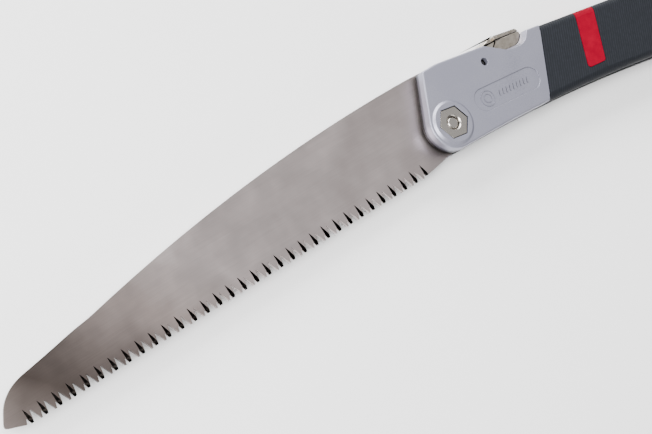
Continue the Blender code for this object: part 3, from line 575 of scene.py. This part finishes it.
# Painted shade: the nickel darkens within 1.0 mm of corners and gaps, as in the wedge before the pad.
painted_corner_shade(tree, ramp(tree, mottle.outputs["Fac"], [(0.3, "A49A8C"), (0.5, "BBB2A6"), (0.75, "CBC4BA")]), 1.0, shader)
dimple = add(tree, "ShaderNodeBump", {"Height": mottle.outputs["Fac"], "Strength": 0.2, "Distance": 0.00008})
tree.links.new(dimple.outputs["Normal"], shader.inputs["Normal"])

# The cross pin and a strip under the thumb pad are painted near-black: painted shade for the pin's
# deep hollow end and for the shadow gap where the pad overhangs.
shade_black, tree, shader, place = finish("painted_shade_black", {"Roughness": 0.5})
shade_mottle = add(tree, "ShaderNodeTexNoise", {"Vector": place, "Scale": 900.0})
tree.links.new(ramp(tree, shade_mottle.outputs["Fac"], [(0.3, "060504"), (0.7, "14110E")]), shader.inputs["Base Color"])
fit(dressed("lever_pin", "lever_cross_pin", 0.1), shade_black, "handle", "pivot_steel", "lever_pin")

# The casting's flat seat, and on it the thumb pad: a curved bar with ribs across its top.
PAD_WIDE = 4.85


def pad_height(x):
    """The pad's top, which falls away towards the handle."""
    return 23.9 - 0.0045 * (x - 46) ** 2 - 0.09 * (x - 46)


def prism(name, outline, half, material, edge):
    """A bar of one outline across the lever, with its edges broken."""
    flat = bmesh.new()
    ends = [[flat.verts.new(at(x, y, z)) for x, y in outline] for z in (half, -half)]
    flat.faces.new(ends[0])
    flat.faces.new(ends[1][::-1])
    for i in range(len(outline)):
        k = (i + 1) % len(outline)
        flat.faces.new((ends[0][i], ends[1][i], ends[1][k], ends[0][k]))
    bmesh.ops.recalc_face_normals(flat, faces=flat.faces)
    mesh = bpy.data.meshes.new(name)
    flat.to_mesh(mesh)
    flat.free()
    bar = bpy.data.objects.new(name, mesh)
    bpy.context.scene.collection.objects.link(bar)
    if edge:
        rounding = bar.modifiers.new("rounded edge", "BEVEL")
        rounding.width = edge * MM
        rounding.segments = 3
        rounding.limit_method = "ANGLE"
        settle(bar)
    bar.data.polygons.foreach_set("use_smooth", [True] * len(bar.data.polygons))
    bar.data.set_sharp_from_angle(angle=math.radians(35))
    bar.data.materials.clear()
    bar.data.materials.append(material)
    return bar


def seated(place):
    """Lower the casting's ribbed top to the flat seat under the pad."""
    x = (place.x - at(0, 0).x) / MM
    if x < 46.35:
        return place
    return Vector((place.x, min(place.y, at(0, 21.95 - 0.115 * (x - 46.35)).y), place.z))


lever = dressed("lock_lever", "thumb_lever", 0.0, 30.0, seated)
fit(lever, nickel, "lock_lever", "lever_nickel", "lock_lever")

steps = [46.2, 46.9, 48.6, 50.3, 52.0, 53.7, 55.4, 57.1, 58.6, 59.7]
upper = [(x, pad_height(x)) for x in steps[::-1]]
pad_bar = prism("thumb_pad_bar", [(60.3, pad_height(60.3) - 0.9)] + upper + [(46.5, 22.45), (60.1, 20.75)],
                PAD_WIDE, nickel, 0.25)
grow(pad_bar, rib_tree, {"Ribs": 9, "First": tuple(at(47.4, pad_height(47.4) + 0.05)),
                         "Pitch": tuple(Vector((1.45, (pad_height(59.0) - pad_height(47.4)) / 8, 0)) * MM),
                         "Size": (0.0007, 0.0008, 2 * (PAD_WIDE - 0.2) * MM), "Lean": (0, 0, math.radians(-9)),
                         "Finish": nickel})
fit(pad_bar, nickel, "lock_lever", "lever_nickel")

# A near-black strip between the pad bar and the seat: a sheet of painted shadow where the pad overhangs.
pad_shadow = prism("pad_joint", [(59.9, 20.3), (59.9, 20.9), (46.7, 22.55), (46.7, 21.8)], PAD_WIDE - 0.35, shade_black, 0.0)
fit(pad_shadow, shade_black, "lock_lever", "lever_nickel")

# Spring wire: dark patented steel with a drawn shine.
wire, tree, shader, place = finish("patented_spring_wire", {"Metallic": 1.0, "Roughness": 0.3})
drawn = add(tree, "ShaderNodeTexNoise", {"Vector": place, "Scale": 1500.0})
tree.links.new(ramp(tree, drawn.outputs["Fac"], [(0.3, "5E5B57"), (0.7, "807C77")]), shader.inputs["Base Color"])
fit(dressed("lever_spring", "coil_spring", 0.0, 50.0), wire, "handle", "spring_steel", "lever_spring")

# ---------------------------------------------------------------- grip sleeve and inlay
# An elastomer sleeve moulded over the cast core, with rounded rims and a fine ribbed skin, and a
# slanted band of red elastomer let into both sides and over the top.

# Thermoplastic elastomer, moulded: matt blue-black with fine ribs across the grip, 0.4 mm apart,
# drawn 1.25 mm apart.
elastomer, tree, shader, place = finish("ribbed_black_elastomer", {"Roughness": 0.62, "Specular IOR Level": 0.12})
swayed = add(tree, "ShaderNodeMapping", {"Vector": place, "Rotation": (0, 0, math.radians(28.6))})
ribs = add(tree, "ShaderNodeTexWave", {"Vector": swayed.outputs["Vector"], "Scale": 250.0, "Distortion": 2.2,
                                       "Detail": 3.0, "Detail Scale": 0.5}, wave_type="BANDS", bands_direction="X")
dust = add(tree, "ShaderNodeTexNoise", {"Vector": place, "Scale": 700.0, "Detail": 3.0})
share = add(tree, "ShaderNodeMath", {0: ribs.outputs["Fac"], 1: dust.outputs["Fac"]}, operation="MULTIPLY")
tree.links.new(ramp(tree, share.outputs["Value"], [(0.0, "181A1E"), (0.35, "1E2024"), (0.8, "26282E")]),
               shader.inputs["Base Color"])
ribbed = add(tree, "ShaderNodeBump", {"Height": ribs.outputs["Fac"], "Strength": 0.3, "Distance": 0.0001})
tree.links.new(ribbed.outputs["Normal"], shader.inputs["Normal"])
fit(dressed("grip_sleeve", "elastomer_sleeve", 0.0, 35.0), elastomer, "handle", "grip_elastomer", "grip_sleeve")

# The same elastomer in red, polished in the mould: an even crimson with a soft gloss.
crimson, tree, shader, place = finish("crimson_elastomer", {"Roughness": 0.5, "Specular IOR Level": 0.03})
film = add(tree, "ShaderNodeTexNoise", {"Vector": place, "Scale": 260.0, "Detail": 3.0})
tree.links.new(ramp(tree, film.outputs["Fac"], [(0.3, "72001A"), (0.6, "7B001C"), (0.8, "83001F")]),
               shader.inputs["Base Color"])
flow = add(tree, "ShaderNodeBump", {"Height": film.outputs["Fac"], "Strength": 0.1, "Distance": 0.0001})
tree.links.new(flow.outputs["Normal"], shader.inputs["Normal"])
fit(dressed("grip_inlay", "crimson_band", 0.0, 35.0), crimson, "handle", "inlay_elastomer", "grip_inlay")
